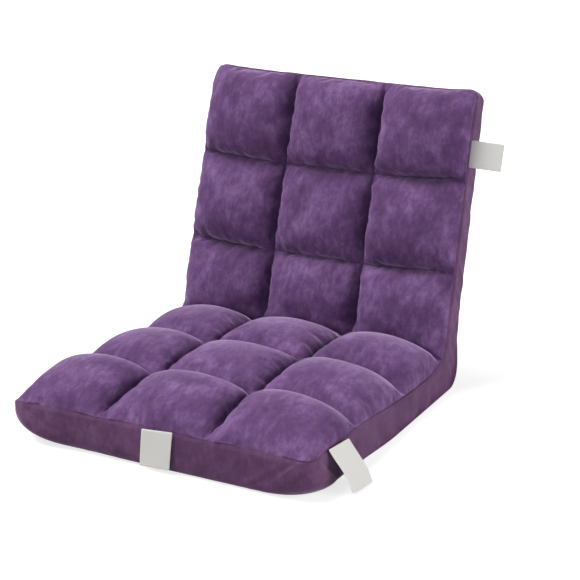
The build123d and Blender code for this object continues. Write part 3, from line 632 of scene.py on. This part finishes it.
def cover_under(edge, other, marks):
    """Base, elbow behind the hinge and rear panel in one sheet, open along the zip."""
    corner = marks["corner"]
    front = np.concatenate([other[corner:0:-1], edge[:corner + 1]])
    edge = edge[corner:marks["top"] + 1]
    other = other[corner:marks["top"] + 1]
    share = np.linspace(0, 1, UNDER_STEPS + 1)
    zip_line = on_back(edge[:, 0], ZIP_AT - ZIP_HALF, -BACK_REAR)
    near = np.argmin(np.linalg.norm(edge - zip_line, axis=-1))
    slot = ZIP_REACH / (2 * edge[near, 0])
    for place in (0.5 - slot, 0.5 + slot):
        share[np.argmin(np.abs(share - place))] = place
    sheet = other[:, None] * (1 - share[:, None]) + edge[:, None] * share[:, None]
    sheet[0, :, 1] = np.interp(sheet[0, :, 0], front[:, 0], front[:, 1])
    drop = np.zeros((len(sheet) - 1, len(share) - 1), bool)
    middle = (share[1:] + share[:-1]) / 2
    drop[near] = np.abs(middle - 0.5) < slot
    return mesh_from_grid("cover_under", sheet, BAND, drop=drop)


panels = [seat_quilt(), back_quilt()]
band_panel, edge_right, edge_left, marks = cover_band()
inflate(panels, frames=20, pressure=40.0, slack_low=0.03, slack_high=0.06)
inflate([band_panel], frames=20, pressure=20.0, slack_low=0.03, slack_high=0.10)
quilts = [panel[0] for panel in panels]
band = welded(band_panel[0])
under = cover_under(edge_right, edge_left, marks)


# Foam: the CAD's pads, pressed in where the sewn cover holds them

def pressed_seat(x, y, z):
    z = np.minimum(z, seat_rim(x, y) - FOAM_BELOW_SEAM)
    tuck = FOAM_IN + FOAM_TUCK * (1 - np.sqrt(1 - np.clip(1 - z / FOAM_CURVE, 0, 1) ** 2))
    cx, cy = HALF - BASE_CORNER, FRONT + BASE_CORNER
    limit = HALF - cx - tuck
    x = np.clip(x, -cx - limit, cx + limit)
    y = np.maximum(y, cy - limit)
    dx, dy = np.maximum(np.abs(x) - cx, 0), np.minimum(y - cy, 0)
    far = np.maximum(np.hypot(dx, dy) / limit, 1)
    x = np.where(dy < 0, np.sign(x) * (np.abs(x) - dx + dx / far), x)
    return np.stack([x, np.where(dx > 0, y - dy + dy / far, y), z], -1)


def pressed_back(x, y, z):
    s, t = from_back(y, z)
    s = np.minimum(s, BACK_LENGTH - FOAM_BELOW_TOP)
    half = back_half(s) - FOAM_IN
    t = np.clip(t, FOAM_REAR - BACK_REAR, back_front(s) - FOAM_BEHIND_SEAM)
    return on_back(np.clip(x, -half, half), s, t)


def pressed_foam(name, body, press):
    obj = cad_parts[name]
    mesh = obj.data.copy()
    places = np.array([obj.matrix_world @ v.co for v in mesh.vertices]) / MM
    mesh.vertices.foreach_set("co", np.ravel(press(*places.T) * MM).astype(np.float32))
    pad = bpy.data.objects.new("pressed_" + name, mesh)
    bpy.context.scene.collection.objects.link(pad)
    mesh.materials.clear()
    mesh.materials.append(FOAM)
    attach(pad, body)
    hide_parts(name)


for name, body, press in (
    ("seat_foam_upper", "seat", pressed_seat), ("seat_foam_lower", "seat", pressed_seat),
    ("back_foam_front", "backrest", pressed_back), ("back_foam_rear", "backrest", pressed_back),
):
    pressed_foam(name, body, press)


# Labels: woven ribbon caught in the seams

def label(name, points, body):
    """Ribbon over a grid of points, standing for the label of that name."""
    obj = mesh_from_grid("woven_" + name, points, LABEL)
    solid = obj.modifiers.new("thickness", "SOLIDIFY")
    solid.thickness = LABEL_THICKNESS * MM
    solid.offset = 0.0
    finer(obj)
    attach(obj, body)
    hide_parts(name)


def front_label():
    """Hangs from the front seam over the band's bulge and straight down from there."""
    half, length, rows = 27.0, 60.0, 25
    middle, slant, tilt = 6.0, 5.5, 2.0      # place along the front, lower end's drift, right end's rise
    clear, twist, curl, curl_length = 1.5, 1.2, 1.5, 20.0
    beside, above, start = 9.0, 7.0, 5.0     # where the band's bulge is looked for
    places = np.array([v.co for v in band.data.vertices]) / MM
    near = places[(np.abs(places[:, 0]) < half + beside) & (places[:, 1] < 0)]
    u, v = np.meshgrid(np.linspace(-half, half, 13), np.linspace(0, length, rows))
    levels = SEAM_Z - start - np.linspace(0, length, rows)
    front = np.array([near[np.abs(near[:, 2] - level) < above][:, 1].min() for level in levels])
    front = np.minimum.accumulate(np.minimum(front - clear, FRONT))
    front[0] = FRONT - LABEL_OUT
    bent = curl * (v / length) ** 2 * np.cos(u / curl_length)
    y = front[:, None] - twist * (u / half) * (v / length) - bent
    x, z = u + middle - slant * v / length, SEAM_Z - LABEL_DROP + tilt * u / half - v
    label("front_label", np.stack([x, y, z], -1), "seat")


def corner_label():
    """Stands out from the side seam near the front corner."""
    width, length, behind = 57.0, 72.0, 53.0
    flare, slope, skew = 0.09, 0.04, 0.02    # how the far edge stands out, falls and drifts
    lean, sway, sway_length = radians(32), 0.08, 24.0
    wave, wave_length, wave_width = 1.2, 20.0, 30.0
    u, v = np.meshgrid(np.linspace(0, width, 13), np.linspace(0, length, 25))
    tilt = lean + sway * np.sin(v / sway_length)
    x = HALF + LABEL_OUT + flare * u + v * np.sin(tilt)
    z = SEAM_Z - LABEL_DROP - slope * u - v * np.cos(tilt)
    z = z + wave * np.sin(v / wave_length + u / wave_width) * (v / length)
    label("corner_label", np.stack([x, FRONT + behind + u + skew * v, z], -1), "seat")


def back_label():
    """Stands out sideways from the back's right seam."""
    length, half, below, behind = 58.0, 23.0, 110.0, 3.0
    sag, wave, wave_length, twist = 0.03, 1.6, 19.0, 0.04
    u, v = np.meshgrid(np.linspace(0, length, 21), np.linspace(-half, half, 13))
    s = BACK_LENGTH - below + v - sag * u
    t = back_front(s) - behind + (wave * np.sin(u / wave_length) - twist * v) * (u / length)
    label("back_label", on_back(back_half(s) - LABEL_OUT + u, s, t), "backrest")


front_label()
corner_label()
back_label()

# Cover pieces: transforms baked into the meshes and one step finer; the CAD's cover parts are hidden
for piece in [*quilts, band, under]:
    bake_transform(piece)
    finer(piece)
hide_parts("seat_quilt", "crease_strip")
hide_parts("back_quilt")
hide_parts("seat_band", "back_band", "hinge_sleeve")
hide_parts("seat_base_panel", "back_rear_panel")

# Materials of the CAD's own pieces
for name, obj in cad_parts.items():
    if "foam" in name:
        material = FOAM
    elif "label" in name:
        material = LABEL
    elif name in ("zip_tape", "zip_coil"):
        material = TAPE
    elif name.startswith("zip"):
        material = LACQUER
    elif "tube" in name:
        material = TUBE
    else:
        material = STEEL
    obj.data.materials.clear()
    obj.data.materials.append(material)


# Stage, light and camera

def seen_lift(tree, dim, bright):
    """Strength that is bright where the studio itself is seen or mirrored and dim as a source of light."""
    path = tree.nodes.new("ShaderNodeLightPath")
    seen = path.outputs["Is Camera Ray"]
    for ray in ("Is Glossy Ray", "Is Transmission Ray"):
        most = tree.nodes.new("ShaderNodeMath")
        most.operation = "MAXIMUM"
        tree.links.new(seen, most.inputs[0])
        tree.links.new(path.outputs[ray], most.inputs[1])
        seen = most.outputs[0]
    lift = tree.nodes.new("ShaderNodeMath")
    lift.operation = "MULTIPLY_ADD"
    lift.inputs[1].default_value = bright - dim
    lift.inputs[2].default_value = dim
    tree.links.new(seen, lift.inputs[0])
    return lift.outputs[0]


def pale_floor():
    """Takes shadows and throws little light back; where it is seen it is lifted to white."""
    material, tree, shader = node_tree("floor")
    shader.inputs["Base Color"].default_value = (0.5, 0.5, 0.5, 1)
    shader.inputs["Roughness"].default_value = 0.95
    shader.inputs["Specular IOR Level"].default_value = 0.0
    shader.inputs["Emission Color"].default_value = (1, 1, 1, 1)
    tree.links.new(seen_lift(tree, 0.0, 0.72), shader.inputs["Emission Strength"])
    return material


def stage():
    bpy.ops.mesh.primitive_plane_add(size=80, location=(0, 0, -0.0005))
    floor = bpy.context.object
    floor.name = "floor"
    floor.data.materials.append(pale_floor())
    world = bpy.data.worlds.new("studio")
    world.use_nodes = True
    tree = world.node_tree
    tree.nodes["Background"].inputs["Color"].default_value = (1, 1, 1, 1)
    tree.links.new(seen_lift(tree, 0.10, 1.0), tree.nodes["Background"].inputs["Strength"])
    bpy.context.scene.world = world
    for name, direction, power, spread in (
        ("key", (-0.54, -0.12, 0.83), 3.8, 40),
        ("low", (-0.82, -0.54, 0.12), 1.1, 40),
        ("fill", (0.35, -0.90, 0.25), 0.6, 60),
        ("side", (0.95, 0.10, 0.18), 3.2, 50),
    ):
        light = bpy.data.lights.new(name, "SUN")
        light.angle = radians(spread)
        light.energy = power
        lamp = bpy.data.objects.new(name, light)
        lamp.rotation_euler = (-Vector(direction)).to_track_quat("-Z", "Y").to_euler()
        bpy.context.scene.collection.objects.link(lamp)


def camera():
    data = bpy.data.cameras.new("camera")
    data.sensor_width = 36
    data.lens = FOCAL / PICTURE * data.sensor_width
    data.clip_end = 50
    obj = bpy.data.objects.new("camera", data)
    obj.location = EYE * MM
    obj.rotation_euler = (TARGET - EYE).to_track_quat("-Z", "Y").to_euler()
    bpy.context.scene.collection.objects.link(obj)
    bpy.context.scene.camera = obj
    bpy.context.scene.view_settings.view_transform = "Standard"


stage()
camera()
